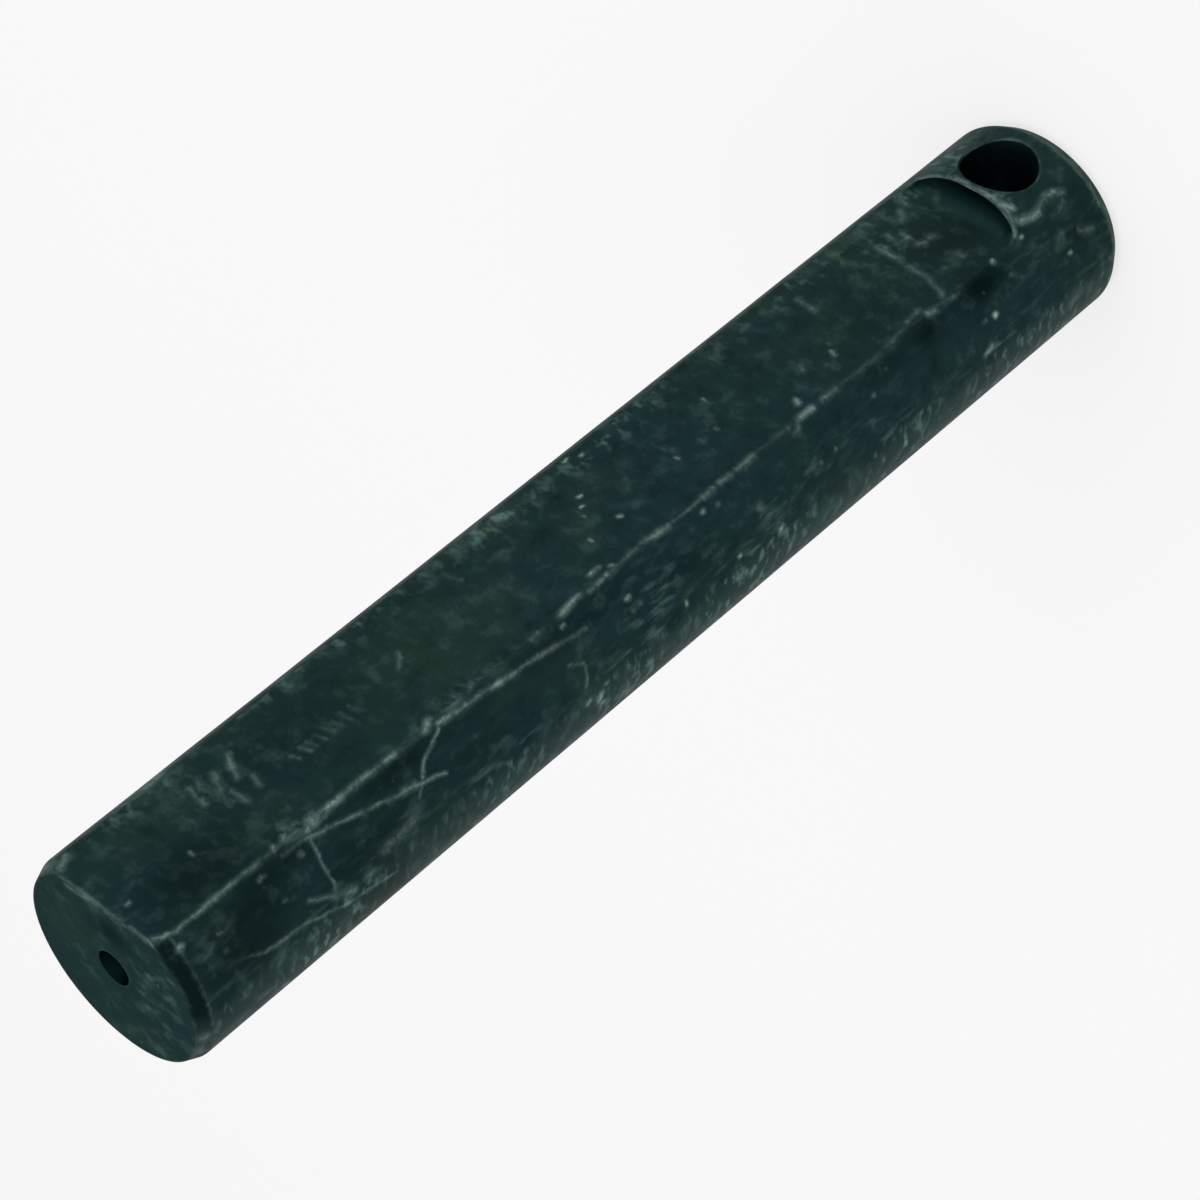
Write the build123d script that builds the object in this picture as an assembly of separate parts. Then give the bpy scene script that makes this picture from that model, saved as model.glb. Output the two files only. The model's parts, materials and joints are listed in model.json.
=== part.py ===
from build123d import *
import math
import os

# Differential pin, the cross shaft that carries the pinion gears of a differential.
# One piece of turned, milled and drilled steel. Millimetres.
# It stands on its lock hole end: +Z runs up the pin, the milled flat faces -Y,
# and the origin is the middle of the foot face.

# Round bar
pin_diameter = 22.0
pin_length = 132.0

# Lead chamfer at the top, the centre-drilled end that goes into the case first
lead_chamfer_length = 1.5
lead_face_diameter = 20.7

# Chamfer round the foot, the end with the lock hole
foot_chamfer_length = 1.5
foot_face_diameter = 20.1

# Flat milled along one side, from its shoulder out through the top end
flat_depth = 2.5
shoulder_height = 12.0
flat_root_radius = 2.3

# Broken edge round the flat and its shoulder
flat_edge_break = 0.2

# Hole for the lock bolt, drilled straight through from the flat's side
lock_hole_diameter = 8.0
lock_hole_height = 7.0
lock_hole_rim = 0.25

# Centre drilling in the top face
centre_mouth_diameter = 3.6
centre_cone_angle = 60.0
centre_pilot_diameter = 1.6
centre_pilot_depth = 2.2
centre_point_angle = 118.0

# Worked out from the sizes above
pin_radius = pin_diameter / 2
lock_hole_radius = lock_hole_diameter / 2
flat_offset = pin_radius - flat_depth
cutter_reach = pin_diameter
same_place = 0.001


def milled_stock():
    """What the milling cutter takes off: a slab whose corner leaves the shoulder's root radius."""
    top = pin_length + cutter_reach
    outside = -flat_offset - cutter_reach
    with BuildPart() as stock:
        with BuildSketch(Plane.YZ):
            with BuildLine():
                wall = Line(
                    (outside, shoulder_height), (-flat_offset - flat_root_radius, shoulder_height)
                )
                root = TangentArc(
                    wall @ 1, (-flat_offset, shoulder_height + flat_root_radius), tangent=(1, 0)
                )
                Polyline(root @ 1, (-flat_offset, top), (outside, top), wall @ 0)
            make_face()
        extrude(amount=cutter_reach, both=True)
    return stock.part


def chamfer_ring(end, inward, face_diameter, chamfer_length):
    """What turning takes off at one end, a ring outside the chamfer's cone."""
    face_radius = face_diameter / 2
    outer_radius = pin_radius + cutter_reach
    with BuildPart() as ring:
        with BuildSketch(Plane.XZ):
            with BuildLine():
                Polyline(
                    (face_radius, end),
                    (pin_radius, end + inward * chamfer_length),
                    (outer_radius, end + inward * chamfer_length),
                    (outer_radius, end),
                    close=True,
                )
            make_face()
        revolve(axis=Axis.Z)
    return ring.part


def centre_drilling():
    """What the centre drill takes out: its cone, a pilot bore and the drill's point."""
    mouth_radius = centre_mouth_diameter / 2
    pilot_radius = centre_pilot_diameter / 2
    cone_depth = (mouth_radius - pilot_radius) / math.tan(math.radians(centre_cone_angle / 2))
    point_depth = pilot_radius / math.tan(math.radians(centre_point_angle / 2))
    cone_end = pin_length - cone_depth
    pilot_end = cone_end - centre_pilot_depth
    with BuildPart() as drilling:
        with BuildSketch(Plane.XZ):
            with BuildLine():
                Polyline(
                    (0, pilot_end - point_depth),
                    (pilot_radius, pilot_end),
                    (pilot_radius, cone_end),
                    (mouth_radius, pin_length),
                    (0, pin_length),
                    close=True,
                )
            make_face()
        revolve(axis=Axis.Z)
    return drilling.part


def lock_hole():
    """What the lock bolt's drill takes out, square to the flat."""
    across = Location((0, 0, lock_hole_height), (90, 0, 0))
    return across * Cylinder(lock_hole_radius, 2 * pin_diameter)


def is_on_bar(point):
    """Whether a point lies on the bar's round surface."""
    return abs(math.hypot(point.X, point.Y) - pin_radius) < same_place


def flat_rim(milled_bar):
    """The edges where the milled flat, its root and its shoulder meet the round of the bar."""
    middles = [(edge, edge @ 0.5) for edge in milled_bar.edges()]
    return [
        edge
        for edge, middle in middles
        if is_on_bar(middle) and middle.Y < -flat_offset / 2 and middle.Z < pin_length - same_place
    ]


def lock_hole_rims(drilled_pin):
    """The two edges where the lock hole breaks out of the bar's round surface."""
    rims = []
    for edge in drilled_pin.edges():
        start = edge @ 0
        from_hole_axis = math.hypot(start.X, start.Z - lock_hole_height)
        if is_on_bar(edge @ 0.3) and abs(from_hole_axis - lock_hole_radius) < same_place:
            rims.append(edge)
    return rims


round_bar = Location((0, 0, pin_length / 2)) * Cylinder(pin_radius, pin_length)
milled_bar = round_bar - milled_stock()
broken_bar = chamfer(flat_rim(milled_bar), flat_edge_break)
lead_ring = chamfer_ring(pin_length, -1, lead_face_diameter, lead_chamfer_length)
foot_ring = chamfer_ring(0, 1, foot_face_diameter, foot_chamfer_length)
turned_pin = broken_bar - lead_ring - foot_ring
drilled_pin = turned_pin - centre_drilling() - lock_hole()
pin = chamfer(lock_hole_rims(drilled_pin), lock_hole_rim)

os.makedirs("parts", exist_ok=True)
export_step(pin, "parts/differential_pin.step")
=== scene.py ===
import json
import math
import random
from functools import partial
import bmesh
import bpy
import numpy as np
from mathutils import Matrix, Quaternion, Vector, kdtree, noise

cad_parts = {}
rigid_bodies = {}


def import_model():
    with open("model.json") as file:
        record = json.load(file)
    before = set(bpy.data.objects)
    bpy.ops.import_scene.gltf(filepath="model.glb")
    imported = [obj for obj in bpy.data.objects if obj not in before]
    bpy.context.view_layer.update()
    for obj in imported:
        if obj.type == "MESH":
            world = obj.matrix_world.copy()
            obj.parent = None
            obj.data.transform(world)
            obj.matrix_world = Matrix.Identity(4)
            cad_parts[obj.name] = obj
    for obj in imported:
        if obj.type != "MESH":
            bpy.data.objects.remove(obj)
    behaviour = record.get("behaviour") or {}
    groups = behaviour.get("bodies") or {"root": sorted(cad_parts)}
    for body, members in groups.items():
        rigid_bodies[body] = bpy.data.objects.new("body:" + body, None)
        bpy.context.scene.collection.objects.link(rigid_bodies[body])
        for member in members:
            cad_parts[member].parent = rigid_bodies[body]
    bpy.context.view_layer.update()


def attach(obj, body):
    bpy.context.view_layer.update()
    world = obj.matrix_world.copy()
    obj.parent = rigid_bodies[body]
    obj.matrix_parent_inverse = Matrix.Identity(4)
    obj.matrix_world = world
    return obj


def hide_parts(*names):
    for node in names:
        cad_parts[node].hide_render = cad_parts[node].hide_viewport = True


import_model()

# Sizes are in millimetres, and the finished mesh is scaled to metres. Only the studio's
# floor and lights are given in metres.
# The pin stands on its lock hole end: +Z runs up it and the milled flat faces -Y.
# A place on its skin is (height up the pin, angle round it). The angle is 0 down
# the middle of the flat and grows towards -X.
millimetre = 0.001


def toLinear(hexColour):
    channels = [int(hexColour[i : i + 2], 16) / 255 for i in (1, 3, 5)]
    linear = [c / 12.92 if c <= 0.04045 else ((c + 0.055) / 1.055) ** 2.4 for c in channels]
    return (*linear, 1.0)


def addNode(tree, kind, *inputs, sockets=None, **settings):
    # a kind such as "Math ADD" is a Math node set to ADD
    kind, *operation = kind.split()
    node = tree.nodes.new("ShaderNode" + kind)
    if operation:
        node.operation = operation[0]
    for name, value in settings.items():
        setattr(node, name, value)
    usable = [socket for socket in node.inputs if socket.enabled]
    for place, value in [*enumerate(inputs), *(sockets or {}).items()]:
        if isinstance(place, int):
            socket = usable[place]
        else:
            socket = next(s for s in usable if s.name == place)
        if isinstance(value, bpy.types.Node):
            value = next(s for s in value.outputs if s.enabled)
        if isinstance(value, bpy.types.NodeSocket):
            tree.links.new(value, socket)
        else:
            socket.default_value = value
    return node


def startTree(owner):
    owner.use_nodes = True
    owner.node_tree.nodes.clear()
    return partial(addNode, owner.node_tree)


def addObject(name, data):
    added = bpy.data.objects.new(name, data)
    bpy.context.scene.collection.objects.link(added)
    return added


# Shape of the pin
pinBody = {
    "radius": 11.0,
    "length": 132.0,
    "flatOffset": 8.5,  # from the pin's axis to the milled flat
    "shoulderHeight": 12.0,
    "rootRadius": 2.3,
    "edgeRounding": 0.24,  # how far the flat's edges are rubbed round
    "chamferLength": 1.5,
    "topFaceRadius": 10.35,
    "footFaceRadius": 10.05,
    "faceEdgeRounding": 0.12,
    "chamferRounding": 0.12,
    "wallSteepness": 8.0,  # mm outwards for each mm down the shoulder's wall
    "milledReach": 80.0,  # degrees to each side, and the milled shapes end well inside it
    "lockHoleRadius": 4.0,
    "lockHoleHeight": 7.0,
    "lockHoleRim": 0.25,
    "centreMouthRadius": 1.8,
    "centreMouthRub": 0.1,  # how far out the mouth is rubbed round
    "centreMouthSteps": ((0.06, 0.03), (0.11, 0.1)),  # from there: (inwards, down)
    "centrePilotRadius": 0.8,
    "centreConeDepth": 1.73,
    "centrePilotDepth": 2.2,
    "centrePointDepth": 0.48,
    "faceDish": 0.02,
    "waveDepth": 0.03,  # slow waves left by polishing
    "waveLength": 9.0,
    "sharpAngle": 50.0,  # degrees, and bends above it are shaded as edges
    "dingCount": 110,
    "dingHeights": (2, 130),
    "dingHalfLengths": (0.5, 1.0),
    "dingHalfWidths": (0.35, 0.7),
    "dingDepth": 0.035,
    "edgeDingDepth": 0.1,  # along the flat's far edge
    "dingShares": (0.4, 1.0),  # of those depths
    "seed": 7,
}

# Nicks and dents knocked into it: height, angle, half length, half width, depth
nicks = [
    (113, 39.6, 0.9, 0.6, 0.22),
    (46, 39.4, 1.1, 0.5, 0.2),
    (42.3, 39.4, 1, 0.45, 0.15),
    (79.4, 39, 1.2, 0.5, 0.14),
    (67.4, 38.8, 1.4, 0.45, 0.14),
    (54.8, 39.4, 1, 0.4, 0.1),
    (57.8, 39.4, 0.7, 0.4, 0.1),
    (60.3, 39.4, 0.7, 0.4, 0.1),
    (98.7, 39.4, 0.7, 0.6, 0.16),
    (107, 40.2, 1.8, 0.4, 0.1),
    (125, 39.5, 2.6, 0.35, 0.07),
    (114.6, 45.5, 0.6, 0.9, 0.12),
    (65.5, -38.6, 0.7, 0.6, 0.22),
    (119.6, -41, 2.4, 0.9, 0.3),
    (130.3, 47, 0.5, 0.5, 0.14),
    (131.5, -33, 0.8, 0.8, 0.16),
    (17, 40.5, 0.6, 0.5, 0.1),
    (20, 64, 0.6, 0.5, 0.07),
    (74, 54.5, 0.6, 0.5, 0.07),
    (54.2, 82, 0.7, 0.6, 0.07),
    (67.8, 17, 0.6, 0.5, 0.05),
    (37.6, 23, 0.6, 0.5, 0.05),
    (34, -19, 0.6, 1.4, 0.05),
    (113.4, 80, 1, 0.9, 0.07),
]

barRadius = pinBody["radius"]
topHeight = pinBody["length"]
flatEdge = math.degrees(math.acos(pinBody["flatOffset"] / barRadius))
rootTop = pinBody["shoulderHeight"] + pinBody["rootRadius"]
rootOffset = pinBody["flatOffset"] + pinBody["rootRadius"]
random.seed(pinBody["seed"])
for dingNumber in range(pinBody["dingCount"]):
    dingAngle = random.choice([-flatEdge, random.uniform(-180, 180), random.uniform(-180, 180)])
    dingHeight = random.uniform(*pinBody["dingHeights"])
    halfLength = random.uniform(*pinBody["dingHalfLengths"])
    halfWidth = random.uniform(*pinBody["dingHalfWidths"])
    deepest = pinBody["edgeDingDepth" if dingAngle == -flatEdge else "dingDepth"]
    depth = deepest * random.uniform(*pinBody["dingShares"])
    nicks.append((dingHeight, dingAngle, halfLength, halfWidth, depth))


def acrossSheet(angle):
    # millimetres along the skin from the middle of the flat
    size = np.abs(angle)
    onFlat = pinBody["flatOffset"] * np.tan(np.radians(np.minimum(size, flatEdge)))
    onRound = barRadius * np.radians(np.maximum(size - flatEdge, 0))
    return np.sign(angle) * (onFlat + onRound)


def smoothMin(a, b, blend):
    share = np.clip(blend - np.abs(a - b), 0, None) / blend
    return np.minimum(a, b) - share * share * blend / 4


def skinRadius(angle, height):
    angle, height = np.broadcast_arrays(np.asarray(angle, float), np.asarray(height, float))
    topSlope = (barRadius - pinBody["topFaceRadius"]) / pinBody["chamferLength"]
    footSlope = (barRadius - pinBody["footFaceRadius"]) / pinBody["chamferLength"]
    topCone = pinBody["topFaceRadius"] + (topHeight - height) * topSlope
    footCone = pinBody["footFaceRadius"] + height * footSlope
    turned = smoothMin(barRadius, topCone, pinBody["chamferRounding"])
    turned = smoothMin(turned, footCone, pinBody["chamferRounding"])
    # the milled flat, its hollow root and the shoulder's wall
    belowRoot = np.clip(rootTop - height, 0, pinBody["rootRadius"])
    milled = rootOffset - np.sqrt(pinBody["rootRadius"] ** 2 - belowRoot**2)
    wall = rootOffset + (pinBody["shoulderHeight"] - height) * pinBody["wallSteepness"]
    milled = np.where(height < pinBody["shoulderHeight"], wall, milled)
    milled = milled / np.cos(np.radians(np.clip(np.abs(angle), 0, pinBody["milledReach"])))
    skin = smoothMin(turned, milled, pinBody["edgeRounding"])
    faceRounding = pinBody["faceEdgeRounding"]
    for fromFace in (topHeight - height, height):
        past = np.clip(faceRounding - fromFace, 0, faceRounding)
        skin = skin - (faceRounding - np.sqrt(faceRounding**2 - past**2))
    across = acrossSheet(angle)
    for nickHeight, nickAngle, halfLength, halfWidth, depth in nicks:
        reach = ((height - nickHeight) / halfLength) ** 2
        reach = reach + ((across - acrossSheet(nickAngle)) / halfWidth) ** 2
        skin = skin - depth * np.clip(1 - reach, 0, 1) ** 2
    return skin


def withWaves(points):
    waved = []
    for x, y, z in points:
        place = Vector((x, y, z)) / pinBody["waveLength"]
        wave = 0.5 + 0.5 * noise.noise(place)
        inward = pinBody["waveDepth"] * min(max(wave, 0), 1) / math.hypot(x, y)
        waved.append((x * (1 - inward), y * (1 - inward), z))
    return waved


def creaseHeight(angle):
    # where the flat's root meets the round of the bar, for each angle
    angle = np.clip(np.abs(angle), 0, flatEdge)
    inside = np.clip(rootOffset - barRadius * np.cos(np.radians(angle)), 0, None)
    inside = np.minimum(inside, pinBody["rootRadius"])
    return rootTop - np.sqrt(pinBody["rootRadius"] ** 2 - inside**2)


# Columns of the skin, in degrees, closer together at the flat's two long edges
flatSteps = 30
flatStop = 36.4
flatStep = flatStop / flatSteps
holeSteps = 25
edgeColumns = (-2.1, -1.45, -0.95, -0.55, -0.25, 0, 0.25, 0.55, 0.95, 1.45, 2.1)
sideStart = flatEdge + 3
sideSteps = 80
halfTurn = [k * flatStep for k in range(flatSteps + 1)]
halfTurn += [flatEdge + offset for offset in edgeColumns]
halfTurn += list(np.linspace(sideStart, 180 - holeSteps * flatStep, sideSteps + 1))
halfTurn += [180 - k * flatStep for k in range(holeSteps - 1, -1, -1)]
columns = np.array([-a for a in halfTurn[-2:0:-1]] + halfTurn)
columnCount = len(columns)

# Rows of the skin, closer together at the chamfers and the shoulder
holeLow = 2.3
holeHigh = 11.65
holeRows = 19
shoulderHigh = 15.4
rootRows = 14
flatHigh = topHeight - 2.3
flatRows = 205
rows = [0, 0.03, 0.08, 0.15, 0.35, 0.6, 0.9, 1.15, 1.32, 1.43, 1.5, 1.58, 1.7, 1.9, holeLow]
holeFirst = len(rows) - 1
rows += list(np.linspace(holeLow, holeHigh, holeRows + 1)[1:])
holeLast = len(rows) - 1
belowCrease = (0.45, 0.75, 0.92, 1.0)
aboveCrease = [1 - math.cos(math.pi / 2 * k / rootRows) for k in range(1, rootRows + 1)]
plainRows = list(np.linspace(shoulderHigh, flatHigh, flatRows + 1)[1:])
belowTop = (2.1, 1.9, 1.75, 1.64, 1.56, 1.5, 1.44, 1.34, 1.15, 0.9, 0.6, 0.35, 0.18)
belowTop += (0.12, 0.08, 0.04, 0.015, 0)
plainRows += [topHeight - below for below in belowTop]
crease = creaseHeight(columns)
rowHeights = [np.full(columnCount, z) for z in rows]
rowHeights += [holeHigh + (crease - holeHigh) * share for share in belowCrease]
rowHeights += [crease + (shoulderHigh - crease) * share for share in aboveCrease]
rowHeights += [np.full(columnCount, z) for z in plainRows]
rowHeights = np.array(rowHeights)
rowCount = len(rowHeights)

gridAngles = np.broadcast_to(columns, rowHeights.shape)
gridRadius = skinRadius(gridAngles, rowHeights)
turn = np.radians(gridAngles)
gridPoints = np.stack([-gridRadius * np.sin(turn), -gridRadius * np.cos(turn), rowHeights], -1)
points = withWaves(gridPoints.reshape(-1, 3).tolist())
pointAngles = gridAngles.ravel().tolist()
faces = []
faceKinds = []
skinFace, lockBoreFace, topFace, centreFace, footFace = range(5)


def addFace(corners, kind):
    faces.append(corners)
    faceKinds.append(kind)


def addRing(ringPoints, ringAngles=None):
    first = len(points)
    points.extend(ringPoints)
    pointAngles.extend(ringAngles or [0.0] * len(ringPoints))
    return list(range(first, len(points)))


def joinRings(outer, inner, kind, leftOpen=()):
    count = len(outer)
    for k in range(count):
        if k not in leftOpen:
            after = (k + 1) % count
            addFace((outer[k], outer[after], inner[after], inner[k]), kind)


def growRing(ring, ringPoints, kind, ringAngles=None):
    nextRing = addRing(ringPoints, ringAngles)
    joinRings(ring, nextRing, kind)
    return nextRing


def closeRing(ring, middlePlace, kind):
    (middle,) = addRing([middlePlace])
    for k in range(len(ring)):
        addFace((ring[k], ring[(k + 1) % len(ring)], middle), kind)


def gridRow(row):
    return list(range(row * columnCount, (row + 1) * columnCount))


def columnAt(angle):
    return int(np.argmin(np.abs((columns - angle + 180) % 360 - 180)))


frontLow = columnAt(-holeSteps * flatStep)
frontHigh = columnAt(holeSteps * flatStep)
backLow = columnAt(180 - holeSteps * flatStep)
openColumns = {k % columnCount for k in range(frontLow, frontHigh)}
openColumns |= {k % columnCount for k in range(backLow, backLow + 2 * holeSteps)}
for row in range(rowCount - 1):
    leftOpen = openColumns if holeFirst <= row < holeLast else ()
    joinRings(gridRow(row), gridRow(row + 1), skinFace, leftOpen)

# Lock hole: rings close in from each opening in the skin, round over the rim and run
# through the bar
around = [(holeFirst, a) for a in range(-holeSteps, holeSteps)]
around += [(r, holeSteps) for r in range(holeFirst, holeLast)]
around += [(holeLast, a) for a in range(holeSteps, -holeSteps, -1)]
around += [(r, -holeSteps) for r in range(holeLast, holeFirst, -1)]
rimOutside = pinBody["lockHoleRadius"] + pinBody["lockHoleRim"]
closingShares = (0.25, 0.48, 0.68, 0.84, 0.94, 1.0)
rimTurns = (20, 40, 60, 75, 90)
boreRings = []
for side in (1, -1):
    ring = []
    for row, step in around:
        angle = step * flatStep if side == 1 else 180 - step * flatStep
        ring.append(gridRow(row)[columnAt(angle)])
    opening = [(points[i][0], points[i][2] - pinBody["lockHoleHeight"]) for i in ring]
    ringPlaces = [(share, rimOutside, 0.0) for share in closingShares]
    for rimTurn in rimTurns:
        rimAngle = math.radians(rimTurn)
        ringRadius = rimOutside - pinBody["lockHoleRim"] * math.sin(rimAngle)
        ringPlaces.append((1.0, ringRadius, pinBody["lockHoleRim"] * (1 - math.cos(rimAngle))))
    for share, ringRadius, depth in ringPlaces:
        ringPoints = []
        ringAngles = []
        for x, up in opening:
            heading = math.atan2(up, x)
            x = x + (ringRadius * math.cos(heading) - x) * share
            up = up + (ringRadius * math.sin(heading) - up) * share
            height = up + pinBody["lockHoleHeight"]
            angle = math.degrees(math.asin(-x / barRadius))
            angle = angle if side == 1 else 180 - angle
            skin = float(skinRadius(angle, height))
            ringPoints.append((x, -side * (math.sqrt(skin**2 - x**2) - depth), height))
            ringAngles.append(angle)
        if depth == 0:
            ringPoints = withWaves(ringPoints)
        ring = growRing(ring, ringPoints, skinFace if depth == 0 else lockBoreFace, ringAngles)
    boreRings.append(ring)
boreLoops = 12
ring = boreRings[0]
for k in range(1, boreLoops):
    share = k / boreLoops
    ends = zip(boreRings[0], boreRings[1])
    middle = [Vector(points[i]).lerp(Vector(points[j]), share) for i, j in ends]
    ring = growRing(ring, [tuple(p) for p in middle], lockBoreFace)
joinRings(ring, boreRings[1], lockBoreFace)

# Top face, then down the centre drilling to its point
mouth = pinBody["centreMouthRadius"] + pinBody["centreMouthRub"]
topShares = (0.985, 0.955, 0.91, 0.85, 0.77, 0.67, 0.57, 0.47, 0.37, 0.27, 0.18, 0.1, 0.04, 0)
coneShares = (0.25, 0.5, 0.75, 0.95, 1.0)
pilotShares = (0.05, 0.35, 0.7, 1.0)
ring = gridRow(rowCount - 1)
rimPoints = [points[i] for i in ring]
for share in topShares:
    ringPoints = []
    for x, y, z in rimPoints:
        reach = math.hypot(x, y)
        inner = (mouth + (reach - mouth) * share) / reach
        dish = pinBody["faceDish"] * (1 - share)
        ringPoints.append((x * inner, y * inner, topHeight - dish))
    ring = growRing(ring, ringPoints, topFace)
faceTop = topHeight - pinBody["faceDish"]
coneEnd = faceTop - pinBody["centreConeDepth"]
pilotEnd = coneEnd - pinBody["centrePilotDepth"]
drilling = [(mouth - inwards, faceTop - down) for inwards, down in pinBody["centreMouthSteps"]]
coneRadius, coneTop = drilling[-1]
for share in coneShares:
    radius = coneRadius + (pinBody["centrePilotRadius"] - coneRadius) * share
    drilling.append((radius, coneTop + (coneEnd - coneTop) * share))
for share in pilotShares:
    depth = coneEnd - pinBody["centrePilotDepth"] * share
    drilling.append((pinBody["centrePilotRadius"], depth))
for radius, height in drilling:
    ringPoints = []
    for x, y, z in rimPoints:
        reach = math.hypot(x, y)
        ringPoints.append((x * radius / reach, y * radius / reach, height))
    ring = growRing(ring, ringPoints, centreFace)
closeRing(ring, (0, 0, pilotEnd - pinBody["centrePointDepth"]), centreFace)

# Foot face, which it stands on
footShares = (0.985, 0.95, 0.87, 0.74, 0.6, 0.45, 0.3, 0.15, 0.05)
ring = gridRow(0)
rimPoints = [points[i] for i in ring]
for share in footShares:
    dish = pinBody["faceDish"] * (1 - share)
    ringPoints = [(x * share, y * share, z + dish) for x, y, z in rimPoints]
    ring = growRing(ring, ringPoints, footFace)
closeRing(ring, (0, 0, pinBody["faceDish"]), footFace)

pinMesh = bpy.data.meshes.new("pinBody")
pinMesh.from_pydata(points, [], faces)
builder = bmesh.new()
builder.from_mesh(pinMesh)
bmesh.ops.recalc_face_normals(builder, faces=builder.faces)
openEdges = sum(1 for edge in builder.edges if not edge.is_manifold)
triangles = sum(len(face.verts) - 2 for face in builder.faces)
builder.to_mesh(pinMesh)
builder.free()
print("pin body:", len(points), "points,", triangles, "triangles,", openEdges, "open edges")

# Ridges that get rubbed, and how hard each is rubbed
ridges = {
    "flatEdge": 0.07,
    "shoulder": 0.75,
    "topChamfer": 0.24,
    "topFace": 0.12,
    "flatEnd": 0.35,
    "footChamfer": 0.25,
    "footFace": 0.25,
    "lockHole": 0.2,
    "centreMouth": 0.05,
    "lockHoleRing": 4.12,  # radius of the ridge round the hole
    "inset": 0.05,  # from an end face to the ridge at its edge
    "step": 0.05,  # mm between the places kept along the bar
    "turnStep": 0.25,  # degrees between them round the bar
    "holeTurnStep": 0.7,
}
ridgePlaces = []


def addRidge(angles, heights, wear):
    radius = skinRadius(angles, heights)
    angles, heights = np.broadcast_arrays(angles, heights)
    turned = np.radians(angles)
    ridge = zip(-radius * np.sin(turned), -radius * np.cos(turned), heights)
    ridgePlaces.extend((tuple(map(float, place)), wear) for place in ridge)


alongFlat = np.arange(rootTop, topHeight - 2 * ridges["inset"], ridges["step"])
acrossFlat = np.arange(-flatEdge, flatEdge, ridges["turnStep"])
roundTheRest = np.arange(flatEdge, 360 - flatEdge, ridges["turnStep"])
roundTheRest = np.where(roundTheRest > 180, roundTheRest - 360, roundTheRest)
allRound = np.arange(-180, 180, ridges["turnStep"])
topRidge = topHeight - ridges["inset"]
for edge in (-flatEdge, flatEdge):
    addRidge(edge, alongFlat, ridges["flatEdge"])
addRidge(acrossFlat, creaseHeight(acrossFlat), ridges["shoulder"])
addRidge(roundTheRest, topHeight - pinBody["chamferLength"], ridges["topChamfer"])
addRidge(roundTheRest, topRidge, ridges["topFace"])
addRidge(acrossFlat, topRidge, ridges["flatEnd"])
addRidge(allRound, pinBody["chamferLength"], ridges["footChamfer"])
addRidge(allRound, ridges["inset"], ridges["footFace"])
for heading in np.radians(np.arange(0, 360, ridges["holeTurnStep"])):
    rimX = ridges["lockHoleRing"] * math.cos(heading)
    rimUp = pinBody["lockHoleHeight"] + ridges["lockHoleRing"] * math.sin(heading)
    rimY = math.sqrt(barRadius**2 - rimX**2)
    ridgePlaces.append(((rimX, -rimY, rimUp), ridges["lockHole"]))
    ridgePlaces.append(((rimX, rimY, rimUp), ridges["lockHole"]))
    mouthPoint = (mouth * math.cos(heading), mouth * math.sin(heading), topHeight)
    ridgePlaces.append((mouthPoint, ridges["centreMouth"]))
tree = kdtree.KDTree(len(ridgePlaces))
for number, (place, wear) in enumerate(ridgePlaces):
    tree.insert(place, number)
tree.balance()
ridgeDistance = []
ridgeWear = []
for point in points:
    found, number, distance = tree.find(point)
    ridgeDistance.append(distance)
    ridgeWear.append(ridgePlaces[number][1])

# Surface coordinates for the marks, in millimetres: the skin unrolled, and each face
# and bore beside it
besideSheet = 200.0
coordinates = np.array(points)
angles = np.array(pointAngles)
cornerPoint = np.zeros(len(pinMesh.loops), np.int32)
pinMesh.loops.foreach_get("vertex_index", cornerPoint)
faceSizes = np.array([len(face) for face in faces])
cornerFace = np.repeat(np.arange(len(faces)), faceSizes)
kinds = np.array(faceKinds)[cornerFace]
cornerAngle = angles[cornerPoint]
faceStarts = np.zeros(len(pinMesh.polygons), np.int32)
pinMesh.polygons.foreach_get("loop_start", faceStarts)
highest = np.maximum.reduceat(cornerAngle, faceStarts)[cornerFace]
isSkin = kinds == skinFace
seam = (highest - cornerAngle > 180) & isSkin
cornerAngle = np.where(seam, cornerAngle + 360, cornerAngle)
cornerX, cornerY, cornerZ = coordinates[cornerPoint].T
sheet = np.zeros((len(cornerPoint), 3), np.float32)
sheet[:, 0] = np.where(isSkin, acrossSheet(cornerAngle), -cornerX)
sheet[:, 1] = np.where(isSkin, cornerZ, -cornerY)
for kind, shift in ((topFace, 1), (centreFace, 1), (footFace, 2), (lockBoreFace, 3)):
    sheet[kinds == kind, 0] += besideSheet * shift

# Each face's finish, by how that part of the pin was made
faceCentres = np.zeros(len(pinMesh.polygons) * 3, np.float32)
pinMesh.polygons.foreach_get("center", faceCentres)
centreX, centreY, centreHeight = faceCentres.reshape(-1, 3).T
centreAngle = np.degrees(np.arctan2(-centreX, -centreY))
kindOfFace = np.array(faceKinds)
finishNames = ["ground", "milled", "chamfer", "face", "drilled"]
finish = np.zeros(len(kindOfFace), int)
nearFlat = np.abs(centreAngle) < flatEdge
aboveShoulder = centreHeight > creaseHeight(centreAngle)
atLead = topHeight - centreHeight < pinBody["chamferLength"]
finish[atLead] = finishNames.index("chamfer")
finish[nearFlat & aboveShoulder] = finishNames.index("milled")
finish[(kindOfFace == topFace) | (kindOfFace == footFace)] = finishNames.index("face")
inBores = (kindOfFace == centreFace) | (kindOfFace == lockBoreFace)
finish[inBores] = finishNames.index("drilled")

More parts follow.
